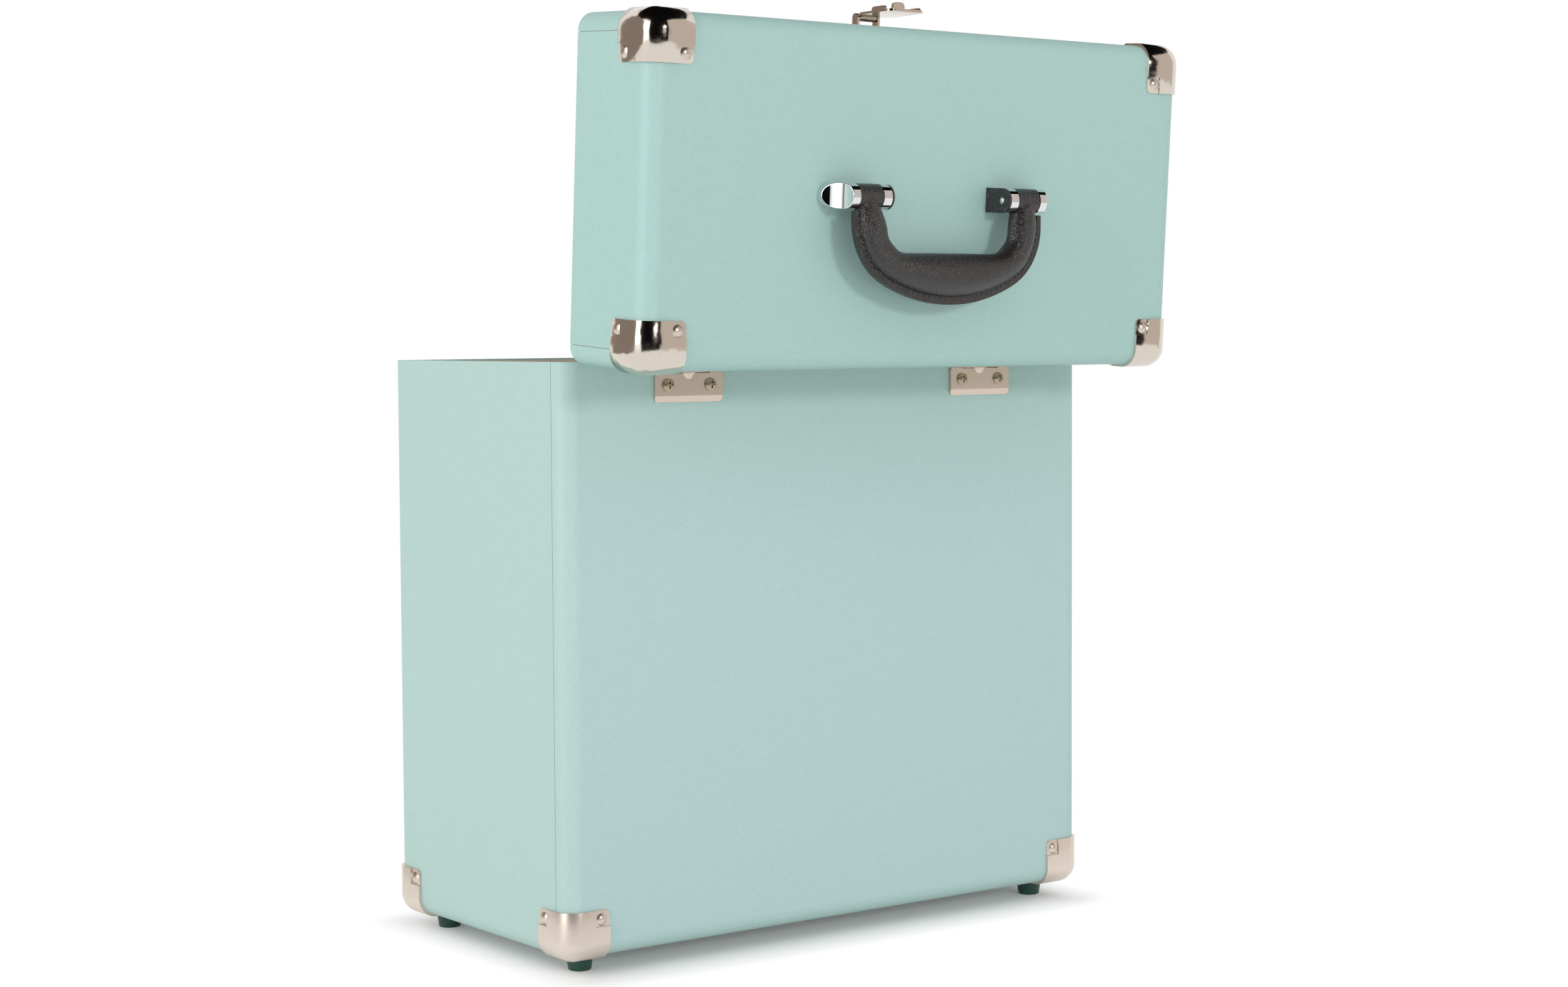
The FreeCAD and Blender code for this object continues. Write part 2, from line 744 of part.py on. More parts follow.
def hasp_shut():
    """Hasp hanging shut: barrel, narrow root, wide plate and a raised ear on each side of its free end.

    One that is thrown back past straight is cranked, so that it clears the lid and still lies as near the
    keeper when shut.
    """
    half_barrel = lug_x - lug_t - loop_clear
    shoulder_z = hasp_z - hasp_shoulder
    end_z = hasp_z - hasp_l
    barrel = rod(hasp_barrel_r, V(-half_barrel, hasp_y, hasp_z), V(half_barrel, hasp_y, hasp_z))
    crank = block((-half_barrel, half_barrel), (hasp_y, hasp_inner_y), (hasp_z, hasp_z - hasp_t))
    root = block((-half_barrel, half_barrel), (hasp_inner_y, hasp_outer_y), (hasp_z, shoulder_z))
    flat = (-hasp_half_w, hasp_half_w)
    plate = block(flat, (hasp_inner_y, hasp_outer_y), (shoulder_z, end_z))
    plate = rounded_edges(plate, hasp_corner_r, lambda edge: runs_along(edge, Y_AXIS))

    ear_start = end_z + hasp_corner_r
    ears = []
    for side in (-1, 1):
        edge_x = (side * hasp_half_w, side * (hasp_half_w - hasp_t))
        ear = block(edge_x, (hasp_outer_y, hasp_inner_y + ear_h), (ear_start, ear_start + ear_l))

        def raised_corner(edge):
            return runs_along(edge, X_AXIS) and edge.CenterOfMass.y > hasp_inner_y

        ears.append(rounded_edges(ear, ear_r, raised_corner))
    bore = rod(latch_pin_r + running_clear, V(-half_barrel, hasp_y, hasp_z), V(half_barrel, hasp_y, hasp_z))
    return barrel.fuse([crank, root, plate] + ears).removeSplitter().cut(bore)


def tongue_shut():
    """Round-cornered tongue standing on the hasp's inner face."""
    tip_y = -back_y - tongue_tip_gap
    level = (slot_z - tongue_t / 2, slot_z + tongue_t / 2)
    tongue = block((-tongue_half_w, tongue_half_w), (hasp_inner_y, tip_y), level)

    def tip_corner(edge):
        return runs_along(edge, Z_AXIS) and abs(edge.CenterOfMass.y - tip_y) < TINY

    return rounded_edges(tongue, tongue_r, tip_corner)


def thrown_back(shape):
    """Latch piece, drawn shut, thrown back on its pin and carried up with the open lid."""
    return opened(swung(shape, V(0, hasp_y, hasp_z), -hasp_open))


def keeper():
    """Slotted keeper on the front of the box, under the shut hasp."""
    wall = -back_y
    front = wall - keeper_t
    half_w = hasp_half_w - hasp_t - keeper_side_clear
    body = block((-half_w, half_w), (front, wall), (slot_z - keeper_fall, slot_z + keeper_rise))
    body = rounded_edges(body, keeper_corner_r, lambda edge: runs_along(edge, Y_AXIS))
    body = rounded_edges(body, keeper_edge_r, lambda edge: abs(edge.CenterOfMass.y - front) < TINY)
    slot_half = tongue_t / 2 + slot_clear
    slot_w = tongue_half_w + slot_clear
    body = body.cut(block((-slot_w, slot_w), (front, wall), (slot_z - slot_half, slot_z + slot_half)))
    return body.cut(holes(keeper_rivet_seats(), small_shank_r, small_shank_l + keeper_t, keeper_t))


def keeper_rivet_seats():
    return [(V(x, -back_y - keeper_t, slot_z), -Y_AXIS) for x in (-keeper_rivet_x, keeper_rivet_x)]


# Assembly

nodes = {}

box_panels, box_skin, box_lining = tub(rim_z, foot_h)
lid_panels, lid_skin, lid_lining = tub(lid_rim_z, lid_top_z)
box_plates, box_rivet_seats = corner_set(foot_h, 1, 2)
lid_plates, lid_rivet_seats = corner_set(lid_top_z, -1, 3)

foot_x = side_x - rivet_in
foot_y = back_y - rivet_in
foot_places = {name: V(signs[0] * foot_x, signs[1] * foot_y, 0) for name, signs in CORNERS.items()}
foot_seats = [(place + V(0, 0, foot_sink), -Z_AXIS) for place in foot_places.values()]
foot_screw_l = foot_h - foot_sink + screw_shank_l - leaf_t

box_leaf_seats = both_hinges(leaf_seats(rim_z - box_screw_drop))
lid_leaf_seats = both_hinges(leaf_seats(lid_rim_z + lid_screw_rise))

box_drill = [
    holes(box_rivet_seats, rivet_shank_r, rivet_shank_l, plate_t),
    holes(foot_seats, screw_shank_r, foot_screw_l, 0.0),
    holes(box_leaf_seats, screw_shank_r, screw_shank_l, leaf_t),
    holes(keeper_rivet_seats(), small_shank_r, small_shank_l + keeper_t, keeper_t),
]
lid_drill = [
    holes(lid_rivet_seats, rivet_shank_r, rivet_shank_l, plate_t),
    holes(lid_leaf_seats, screw_shank_r, screw_shank_l, leaf_t),
    holes(base_rivet_seats(), small_shank_r, small_shank_l, base_t),
]

# Box panels, cover and lining
nodes["box_base"] = box_panels["end"].cut(box_drill)
nodes["lid_top"] = opened(lid_panels["end"].cut(lid_drill))
for name in ("front", "back", "left", "right"):
    nodes["box_" + name] = box_panels[name].cut(box_drill)
    nodes["lid_" + name] = opened(lid_panels[name].cut(lid_drill))
box_seam = back_y - seam_in
nodes["box_cover"] = box_skin.cut(behind(box_seam - seam_gap)).cut(box_drill)
nodes["box_back_cover"] = box_skin.common(behind(box_seam)).cut(box_drill)
nodes["box_lining"] = box_lining

# Lid cover and lining
wall_z = (lid_rim_z, lid_top_z - edge_r)
open_z = (lid_rim_z, lid_top_z - edge_r + seam_gap)
lid_seam = back_y - seam_in
middle = lid_skin.cut([behind(lid_seam - seam_gap, open_z), before(seam_gap - lid_seam, open_z)])
nodes["lid_cover"] = opened(middle.cut(lid_drill))
nodes["lid_front_cover"] = opened(lid_skin.common(before(-lid_seam, wall_z)).cut(lid_drill))
nodes["lid_back_cover"] = opened(lid_skin.common(behind(lid_seam, wall_z)).cut(lid_drill))
nodes["lid_lining"] = opened(lid_lining)

# Corner plates, rivets and feet
corner_rivet = rivet(rivet_head_r, rivet_head_h, rivet_shank_r, rivet_shank_l)
foot_drill = holes(foot_seats, screw_shank_r, foot_screw_l, 0.0)
for name in CORNERS:
    nodes["box_corner_" + name] = box_plates[name].cut(foot_drill)
    nodes["lid_corner_" + name] = opened(lid_plates[name])
    nodes["foot_" + name] = foot(foot_places[name])
nodes["box_corner_rivets"] = group([set_at(corner_rivet, *seat) for seat in box_rivet_seats])
nodes["lid_corner_rivets"] = opened(group([set_at(corner_rivet, *seat) for seat in lid_rivet_seats]))
nodes["foot_screws"] = group([set_at(screw(foot_screw_l), *seat) for seat in foot_seats])

# Hinges
for name, side in (("left", -1), ("right", 1)):
    nodes["hinge_box_leaf_" + name] = at_hinge(box_leaf(), side)
    nodes["hinge_lid_leaf_" + name] = opened(at_hinge(lid_leaf(), side))
hinge_pin = rod(pin_r, V(-leaf_w / 2, pin_y, pin_z), V(leaf_w / 2, pin_y, pin_z))
nodes["hinge_pins"] = group([at_hinge(hinge_pin, side) for side in (-1, 1)])
leaf_screw = screw(screw_shank_l)
nodes["hinge_box_screws"] = group([set_at(leaf_screw, *seat) for seat in box_leaf_seats])
nodes["hinge_lid_screws"] = opened(group([set_at(leaf_screw, *seat) for seat in lid_leaf_seats]))

# Handle
right_mount = on_lid_top(mount())
right_plug = on_lid_top(plug())
right_pin = on_lid_top(handle_pin())
nodes["handle_mount_right"] = opened(right_mount)
nodes["handle_mount_left"] = opened(mirrored(right_mount, X_AXIS))
nodes["handle_plug_right"] = opened(right_plug)
nodes["handle_plug_left"] = opened(mirrored(right_plug, X_AXIS))
nodes["handle_pins"] = opened(group([right_pin, mirrored(right_pin, X_AXIS)]))
nodes["handle_grip"] = grip()

# Latch
small_rivet = rivet(small_rivet_r, small_rivet_h, small_shank_r, small_shank_l)
keeper_rivet = rivet(small_rivet_r, small_rivet_h, small_shank_r, small_shank_l + keeper_t)
nodes["latch_base"] = opened(latch_base())
nodes["latch_base_rivets"] = opened(group([set_at(small_rivet, *seat) for seat in base_rivet_seats()]))
nodes["latch_pin"] = opened(latch_pin())
nodes["latch_hasp"] = thrown_back(hasp_shut())
nodes["latch_tongue"] = thrown_back(tongue_shut())
nodes["latch_keeper"] = keeper()
nodes["latch_keeper_rivets"] = group([set_at(keeper_rivet, *seat) for seat in keeper_rivet_seats()])

os.makedirs("parts", exist_ok=True)
for name, shape in nodes.items():
    shape.exportStep("parts/" + name + ".step")
    print(name, len(shape.Solids), shape.isValid(), round(shape.Volume, 1))
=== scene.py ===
# %% [markdown]
# # Dressing a record box
# The object is a board box covered in mint leatherette, with a hinged lid, pressed nickel corners, satin
# hinges, a black moulded handle and a small hasp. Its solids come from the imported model, in metres and in
# their final places, so this lesson is about finishes, the sewn details, the light and the camera.

import json
import math

import bpy
from mathutils import Matrix, Vector


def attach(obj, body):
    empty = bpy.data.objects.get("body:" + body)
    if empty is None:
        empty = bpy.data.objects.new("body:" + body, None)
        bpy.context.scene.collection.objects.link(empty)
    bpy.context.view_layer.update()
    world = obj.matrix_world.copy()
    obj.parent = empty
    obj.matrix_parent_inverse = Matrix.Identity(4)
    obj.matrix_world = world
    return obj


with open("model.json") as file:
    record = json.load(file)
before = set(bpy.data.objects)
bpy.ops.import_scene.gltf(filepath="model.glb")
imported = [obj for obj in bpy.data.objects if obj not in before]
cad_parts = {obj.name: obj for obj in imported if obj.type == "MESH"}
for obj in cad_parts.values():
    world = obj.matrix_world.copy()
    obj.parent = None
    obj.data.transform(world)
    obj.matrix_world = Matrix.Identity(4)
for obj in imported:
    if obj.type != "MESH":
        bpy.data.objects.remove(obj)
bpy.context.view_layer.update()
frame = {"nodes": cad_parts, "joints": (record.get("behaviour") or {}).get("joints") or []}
nodes = frame["nodes"]
print("pieces in the frame:", len(nodes))

# %% [markdown]
# ## Four small helpers
# Colours are picked from pictures, where they are sRGB, but the shaders work in linear light, so one
# function converts a hex value. A second adds a shader node with its settings and links in one line. A
# third starts a material, with one Principled shader already wired to the output, and a fourth gives a
# material to CAD pieces.

# %% Colour, node and material helpers
MM = 0.001


def linear(hex_colour):
    channels = [int(hex_colour[i:i + 2], 16) / 255 for i in (1, 3, 5)]
    return tuple(c / 12.92 if c <= 0.04045 else ((c + 0.055) / 1.055) ** 2.4 for c in channels) + (1.0,)


def add(tree, kind, inputs=None, **settings):
    """Adds a shader node; an input that is another node's socket is linked, and any other is set."""
    node = tree.nodes.new("ShaderNode" + kind)
    for name, value in settings.items():
        setattr(node, name, value)
    for key, value in (inputs or {}).items():
        if isinstance(value, bpy.types.NodeSocket):
            tree.links.new(value, node.inputs[key])
        else:
            node.inputs[key].default_value = value
    return node


def new_material(name, **shader_values):
    material = bpy.data.materials.new(name)
    material.use_nodes = True
    tree = material.node_tree
    shader = tree.nodes["Principled BSDF"]
    for key, value in shader_values.items():
        shader.inputs[key.replace("_", " ")].default_value = value
    return material, tree, shader


def dress(material, *names):
    for name in names:
        mesh = nodes[name].data
        mesh.materials.clear()
        mesh.materials.append(material)


print("middle grey in linear light:", round(linear("#808080")[0], 3))

# %% [markdown]
# ## Camera
# The photograph was taken from behind the box, a little to its right-hand side and slightly above its
# middle. The camera's place, aim and lens were worked out from the straight edges of the box and the lid,
# so that the corners of the model land on the corners in the picture.

# %% Camera at the photograph's place
CAMERA_PLACE = Vector((0.91840, 1.26003, 0.33003))
CAMERA_RIGHT = Vector((-0.79933, 0.60087, -0.00548))
CAMERA_UP = Vector((-0.04065, -0.04497, 0.99816))
CAMERA_AIM = Vector((-0.59952, -0.79808, -0.06037))
FOCAL_PX = 4271.2
PICTURE_PX = 2408
SENSOR_MM = 36.0

lens = bpy.data.cameras.new("camera")
lens.sensor_fit = "HORIZONTAL"
lens.sensor_width = SENSOR_MM
lens.lens = FOCAL_PX / PICTURE_PX * SENSOR_MM
lens.clip_start = 0.01
lens.clip_end = 50
camera = bpy.data.objects.new("camera", lens)
bpy.context.collection.objects.link(camera)
turn = Matrix((CAMERA_RIGHT, CAMERA_UP, -CAMERA_AIM)).transposed()
camera.matrix_world = Matrix.Translation(CAMERA_PLACE) @ turn.to_4x4()
bpy.context.scene.camera = camera
print("lens in mm:", round(lens.lens, 2))

# %% [markdown]
# ## Mint leatherette
# The cover is PVC leathercloth: a pigmented vinyl skin pressed with a fine pebble grain, on a woven back.
# It is only slightly glossy. Pebbles are cells with rounded tops, which a smooth Voronoi pattern gives; a
# noise bends the cells so that they don't look printed, and the valleys between them are painted a little
# darker, as painted shade. The real grain is about 0.9 mm. The same cover is made in three copies painted for
# the light: the lid's a little darker, as painted shade, and the back's a little lighter, as painted light.
# The back also gets a painted cooler tint where it faces straight back to the key lamp and isn't shaded by
# the lid, and keeps the plain mint under the lid as painted shade; so that tint is steered by the direction
# and height of the surface, without a step at the seam.

# %% Leatherette
GRAIN_MM = 0.9
GRAIN_DEPTH_MM = 0.16
WARP_MM = 4 * GRAIN_MM          # size of the noise that bends the cells
BEND_MM = 0.9 * GRAIN_MM        # how far it bends them
LID_SHADE_Z = 0.31              # the lid's shade covers the back above this height, in metres
FULL_LIGHT_Z = 0.20             # and has faded out below this one


def pvc_leathercloth(name, colour, valley_shade, lit_back_tint=None):
    material, tree, shader = new_material(name, Roughness=0.46, IOR=1.46)
    place = add(tree, "TexCoord").outputs["Object"]
    warp = add(tree, "TexNoise", {"Vector": place, "Scale": 1 / (WARP_MM * MM), "Detail": 2.0})
    shifted = add(tree, "VectorMath", {0: warp.outputs["Color"], "Scale": BEND_MM * MM}, operation="SCALE")
    bent = add(tree, "VectorMath", {0: place, 1: shifted.outputs["Vector"]}, operation="ADD")
    pebbles = add(tree, "TexVoronoi", {
        "Vector": bent.outputs["Vector"], "Scale": 1 / (GRAIN_MM * MM), "Smoothness": 0.4},
        feature="SMOOTH_F1")
    pits = add(tree, "MapRange", {"Value": pebbles.outputs["Distance"], "From Min": 0.3, "From Max": 0.75})
    tint = linear(colour)
    if lit_back_tint:
        facing = add(tree, "SeparateXYZ", {0: add(tree, "NewGeometry").outputs["Normal"]})
        turned = add(tree, "MapRange", {"Value": facing.outputs["Y"], "From Min": 0.7, "From Max": 1.0})
        height = add(tree, "SeparateXYZ", {0: place})
        open_to_light = add(tree, "MapRange", {
            "Value": height.outputs["Z"], "From Min": LID_SHADE_Z, "From Max": FULL_LIGHT_Z})
        share = add(tree, "Math", {0: turned.outputs["Result"], 1: open_to_light.outputs["Result"]},
                    operation="MULTIPLY")
        # Painted light: a cooler tint where the back faces the key lamp and lies outside the lid's shade.
        painted_light_tint = add(tree, "MixRGB", {
            "Fac": share.outputs["Value"], "Color1": tint, "Color2": linear(lit_back_tint)})
        tint = painted_light_tint.outputs["Color"]
    # Painted shade: the valleys between the pebbles are painted darker.
    valleys = add(tree, "MixRGB", {
        "Fac": pits.outputs["Result"], "Color1": tint, "Color2": linear(valley_shade)}, blend_type="MULTIPLY")
    tree.links.new(valleys.outputs["Color"], shader.inputs["Base Color"])
    relief = add(tree, "Bump", {
        "Height": pebbles.outputs["Distance"], "Strength": 0.5, "Distance": GRAIN_DEPTH_MM * MM}, invert=True)
    tree.links.new(relief.outputs["Normal"], shader.inputs["Normal"])
    return material


mint = pvc_leathercloth("mint_leathercloth", "#aec9c3", "#fbfcfc")
# Painted light: the back's copy is painted lighter than the sides; painted shade: the lid's copy is painted
# darker.
lit_back_mint = pvc_leathercloth("back_leathercloth_painted_light", "#b0cac5", "#f5faf8", lit_back_tint="#b4cdcd")
shaded_lid_mint = pvc_leathercloth("lid_leathercloth_painted_shade", "#a7c6c1", "#f5faf9")
dress(mint, "box_cover")
dress(lit_back_mint, "box_back_cover")
dress(shaded_lid_mint, "lid_cover", "lid_front_cover", "lid_back_cover")
print("leathercloth grain in mm:", GRAIN_MM)

# %% [markdown]
# ## Lining and board
# The inside is a taupe cloth, matt, with fine flecks of lighter and darker yarn. Seen from a step away the
# flecks only take the hardness off the colour. The cloth is painted paler than it is, as painted light for
# the inside of the box, which the lid shades. The board hardly shows, only through the seams, and is plain
# fibreboard, pressed from pale fibres.

# %% Lining and board
YARN_MM = 0.7
FIBRE_MM = 2


def flecked_cloth(name, colour, fleck_colour):
    material, tree, shader = new_material(name, Roughness=0.85)
    place = add(tree, "TexCoord").outputs["Object"]
    yarn = add(tree, "TexNoise", {
        "Vector": place, "Scale": 1 / (YARN_MM * MM), "Detail": 3.0, "Roughness": 0.7})
    mix = add(tree, "MixRGB", {
        "Fac": yarn.outputs["Fac"], "Color1": linear(fleck_colour), "Color2": linear(colour)})
    tree.links.new(mix.outputs["Color"], shader.inputs["Base Color"])
    relief = add(tree, "Bump", {"Height": yarn.outputs["Fac"], "Strength": 0.3, "Distance": 0.1 * MM})
    tree.links.new(relief.outputs["Normal"], shader.inputs["Normal"])
    return material


# Painted light: the lining's colours are painted paler than the cloth's own.
lightened_taupe = flecked_cloth("lining_cloth_painted_light", "#ebe0d3", "#c4b9ac")
dress(lightened_taupe, "box_lining", "lid_lining")

fibreboard, tree, shader = new_material("fibreboard", Roughness=0.9)
place = add(tree, "TexCoord").outputs["Object"]
fibres = add(tree, "TexNoise", {"Vector": place, "Scale": 1 / (FIBRE_MM * MM), "Detail": 4.0})
mix = add(tree, "MixRGB", {
    "Fac": fibres.outputs["Fac"], "Color1": linear("#c9c4b4"), "Color2": linear("#dad5c6")})
tree.links.new(mix.outputs["Color"], shader.inputs["Base Color"])
walls = ("front", "back", "left", "right")
dress(fibreboard, "box_base", "lid_top", *("box_" + w for w in walls), *("lid_" + w for w in walls))
print("yarn and fibres in mm:", YARN_MM, FIBRE_MM)

# %% [markdown]
# ## Nickel, satin nickel and chrome
# The corner plates and rivets are steel pressings with a bright nickel plate, a little warm and not quite a
# perfect mirror. Those of the lid are brighter than those of the box. The hinge leaves are satin: the same
# plate over a blasted surface. The handle's mounts are polished chrome, which is cooler and sharper. On all
# of them most of the look comes from what they reflect. A pressed corner isn't quite flat, so its
# reflections are also bent a little, by a bump that falls away from the middle of the plate as a shallow
# dome does.

# %% Plated metals
PLATE_MM = 30           # about the width of a corner plate
WAVE_MM = 9             # ripples of the pressing
WAVINESS = 0.05         # their height, as a share of the dome's


def plated_steel(name, colour, roughness, spread, grain_mm, relief_mm, dome_r_mm=None):
    """Plated metal whose polish varies in small patches, with the faint orange peel of the plating bath.

    Pressed corners also swell a little over the board, by the radius of their dome.
    """
    material, tree, shader = new_material(name, Metallic=1.0)
    shader.inputs["Base Color"].default_value = linear(colour)
    place = add(tree, "TexCoord").outputs["Object"]
    grain = add(tree, "TexNoise", {"Vector": place, "Scale": 1 / (grain_mm * MM), "Detail": 3.0})
    rough = add(tree, "MapRange", {"Value": grain.outputs["Fac"], "From Min": 0.3, "From Max": 0.7,
                                   "To Min": roughness - spread, "To Max": roughness + spread})
    tree.links.new(rough.outputs["Result"], shader.inputs["Roughness"])
    relief = add(tree, "Bump", {"Height": grain.outputs["Fac"], "Strength": 0.3, "Distance": relief_mm * MM})
    tree.links.new(relief.outputs["Normal"], shader.inputs["Normal"])
    if dome_r_mm:
        share = add(tree, "TexCoord").outputs["Generated"]
        off_middle = add(tree, "VectorMath", {0: share, 1: (0.5, 0.5, 0.5)}, operation="DISTANCE")
        bow = add(tree, "Math", {0: off_middle.outputs["Value"], 1: 2.0}, operation="POWER")
        wave = add(tree, "TexNoise", {"Vector": place, "Scale": 1 / (WAVE_MM * MM), "Detail": 1.0})
        fall = add(tree, "Math", {0: wave.outputs["Fac"], 1: WAVINESS, 2: bow.outputs["Value"]},
                   operation="MULTIPLY_ADD")
        sagitta = (PLATE_MM * MM) ** 2 / (2 * dome_r_mm * MM)
        dome = add(tree, "Bump", {
            "Height": fall.outputs["Value"], "Strength": 1.0, "Distance": sagitta}, invert=True)
        tree.links.new(dome.outputs["Normal"], relief.inputs["Normal"])
    return material


bright_nickel = plated_steel("bright_nickel", "#d8cabc", 0.14, 0.05, 0.7, 0.006)
rivet_nickel = plated_steel("rivet_nickel", "#ddd1c5", 0.36, 0.05, 0.7, 0.003)
lid_corner_nickel = plated_steel("lid_corner_nickel", "#dad1c6", 0.12, 0.04, 0.6, 0.014, dome_r_mm=52)
box_corner_nickel = plated_steel("box_corner_nickel", "#e4d8cc", 0.36, 0.05, 0.6, 0.006, dome_r_mm=110)
satin_nickel = plated_steel("satin_nickel", "#dccdbf", 0.36, 0.06, 0.5, 0.006)
# Painted shade: the screws are a darker copy of the nickel, for the shade in their recesses.
shaded_screw_nickel = plated_steel("shaded_screw_nickel", "#b3a48f", 0.25, 0.06, 0.5, 0.006)
polished_chrome = plated_steel("polished_chrome", "#e2e3e4", 0.05, 0.02, 3.0, 0.004)
print("corner plate, about, in mm:", PLATE_MM)

# %% Plated pieces
corners = ("front_left", "front_right", "back_left", "back_right")
sides = ("left", "right")
leaves = ["hinge_%s_leaf_%s" % (half, side) for half in ("box", "lid") for side in sides]
dress(bright_nickel, "latch_base", "latch_hasp", "latch_tongue", "latch_keeper", "latch_pin")
dress(rivet_nickel, "lid_corner_rivets", "box_corner_rivets", "latch_base_rivets", "latch_keeper_rivets")
dress(shaded_screw_nickel, "hinge_box_screws", "hinge_lid_screws", "foot_screws")
dress(lid_corner_nickel, *("lid_corner_" + c for c in corners))
dress(box_corner_nickel, *("box_corner_" + c for c in corners))
dress(satin_nickel, "hinge_pins", *leaves)
dress(polished_chrome, "handle_pins", *("handle_mount_" + side for side in sides))
print("hinge leaves:", len(leaves))

# %% [markdown]
# ## Black grip and plugs
# The grip is moulded in soft black PVC with a leather grain and a polished skin: rounded pebbles that catch
# the light one by one. Its IOR is a little over PVC's 1.54, to match how strongly the real one shines. The
# end plugs are a harder plastic with a flatter, cracked grain, so there the lines between the cells are cut
# in instead, and painted lighter than the cells, as a painted highlight where they catch the light.

# %% Black mouldings
def pebbled_plastic(name, colour, light_colour, roughness, grain_mm, relief_mm):
    material, tree, shader = new_material(name, Roughness=roughness, IOR=1.65)
    place = add(tree, "TexCoord").outputs["Object"]
    cells = add(tree, "TexVoronoi", {"Vector": place, "Scale": 1 / (grain_mm * MM)}, feature="F1")
    folds = add(tree, "TexNoise", {"Vector": place, "Scale": 1 / (3 * grain_mm * MM), "Detail": 3.0})
    height = add(tree, "Math", {0: folds.outputs["Fac"], 1: cells.outputs["Distance"]}, operation="SUBTRACT")
    mix = add(tree, "MixRGB", {
        "Fac": folds.outputs["Fac"], "Color1": linear(colour), "Color2": linear(light_colour)})
    tree.links.new(mix.outputs["Color"], shader.inputs["Base Color"])
    relief = add(tree, "Bump", {
        "Height": height.outputs["Value"], "Strength": 0.7, "Distance": relief_mm * MM})
    tree.links.new(relief.outputs["Normal"], shader.inputs["Normal"])
    return material


def cracked_plastic(name, colour, crack_highlight_colour, roughness, grain_mm, relief_mm):
    material, tree, shader = new_material(name, Roughness=roughness, IOR=1.5)
    place = add(tree, "TexCoord").outputs["Object"]
    cells = add(tree, "TexVoronoi", {"Vector": place, "Scale": 1 / (grain_mm * MM)},
                feature="DISTANCE_TO_EDGE")
    flat = add(tree, "MapRange", {"Value": cells.outputs["Distance"], "From Min": 0.0, "From Max": 0.12})
    # Painted highlight: the cracks between the cells are painted lighter, where they catch the light.
    mix = add(tree, "MixRGB", {
        "Fac": flat.outputs["Result"], "Color1": linear(crack_highlight_colour), "Color2": linear(colour)})
    tree.links.new(mix.outputs["Color"], shader.inputs["Base Color"])
    relief = add(tree, "Bump", {
        "Height": flat.outputs["Result"], "Strength": 0.8, "Distance": relief_mm * MM})
    tree.links.new(relief.outputs["Normal"], shader.inputs["Normal"])
    return material


black_grip = pebbled_plastic("black_grip_plastic", "#151312", "#262220", 0.30, 0.8, 0.36)
black_plug = cracked_plastic("black_plug_plastic", "#222123", "#4b494a", 0.34, 1.7, 0.25)
dress(black_grip, "handle_grip")
dress(black_plug, *("handle_plug_" + side for side in sides))
print("black finishes:", black_grip.name, black_plug.name)

# %% [markdown]
# ## Stitches in the welt
# The welt of the grip has a groove with a line of stitching on both faces. The thread lies in that groove,
# so its path is the welt's outline, set in by the groove's distance: a straight arm, a round bend and a
# shallow curved foot. Each stitch is a short piece of round cord with its middle a little higher than its
# ends; one curve object holds them all.

# %% Path of the stitches
WELT_HALF_W = 61.8          # over the welt at the arms; these sizes are the grip's own, in mm
WELT_DROP = 53.7            # lowest point of the welt below the handle's axis
WELT_START = 7.3            # top of the welt below the axis
ARM_STRAIGHT = 13.0         # start of the bend below the axis
BEND_R = 34.0
GRIP_OUT = 2.4              # middle plane of the welt in front of the axis
GROOVE_FACE = 0.9           # floor of the groove from that plane
GROOVE_INSET = 3.05         # middle of the groove from the welt's edge
STITCH_PITCH_MM = 3.5

swing = next(joint for joint in frame["joints"] if joint["name"] == "handle_swing")
handle_axis = Vector(swing["pos_m"])
bend = BEND_R - GROOVE_INSET
bend_x = WELT_HALF_W - BEND_R
rise = WELT_DROP - GROOVE_INSET - ARM_STRAIGHT
foot_r = (bend_x ** 2 + rise ** 2 - bend ** 2) / (2 * (rise - bend))
foot_drop = WELT_DROP - GROOVE_INSET - foot_r
meet = math.atan2(ARM_STRAIGHT - foot_drop, bend_x)
arm_l = ARM_STRAIGHT - WELT_START
bend_l = bend * meet
foot_l = foot_r * (math.pi / 2 - meet)


def along_welt(run):
    """Place across and down, in mm, at a distance from the top of one arm."""
    if run < arm_l:
        return bend_x + bend, WELT_START + run
    if run < arm_l + bend_l:
        angle = (run - arm_l) / bend
        return bend_x + bend * math.cos(angle), ARM_STRAIGHT + bend * math.sin(angle)
    angle = meet + (run - arm_l - bend_l) / foot_r
    return foot_r * math.cos(angle), foot_drop + foot_r * math.sin(angle)


whole_run = 2 * (arm_l + bend_l + foot_l)
stitch_count = int((whole_run - STITCH_PITCH_MM) / STITCH_PITCH_MM)
print("stitches on each face:", stitch_count)

# %% Thread
STITCH_MM = 2.5
THREAD_R_MM = 0.27
POINTS_ALONG = (-0.5, -0.3, 0.0, 0.3, 0.5)      # shares of a stitch, from its middle

curve = bpy.data.curves.new("welt_stitches", "CURVE")
curve.dimensions = "3D"
curve.bevel_depth = THREAD_R_MM * MM
curve.bevel_resolution = 2
curve.use_fill_caps = True
first_run = (whole_run - (stitch_count - 1) * STITCH_PITCH_MM) / 2
for face in (-1, 1):
    for index in range(stitch_count):
        middle = first_run + index * STITCH_PITCH_MM
        spline = curve.splines.new("POLY")
        spline.points.add(len(POINTS_ALONG) - 1)
        for point, share in zip(spline.points, POINTS_ALONG):
            run = middle + share * STITCH_MM
            x, drop = along_welt(min(run, whole_run - run))
            lift = GROOVE_FACE + THREAD_R_MM * (0.9 - 2.4 * share ** 2)
            mirror = 1 if run < whole_run / 2 else -1
            offset = Vector((mirror * x, GRIP_OUT + face * lift, -drop)) * MM
            point.co = (*(handle_axis + offset), 1.0)
stitches = bpy.data.objects.new("welt_stitches", curve)
bpy.context.collection.objects.link(stitches)
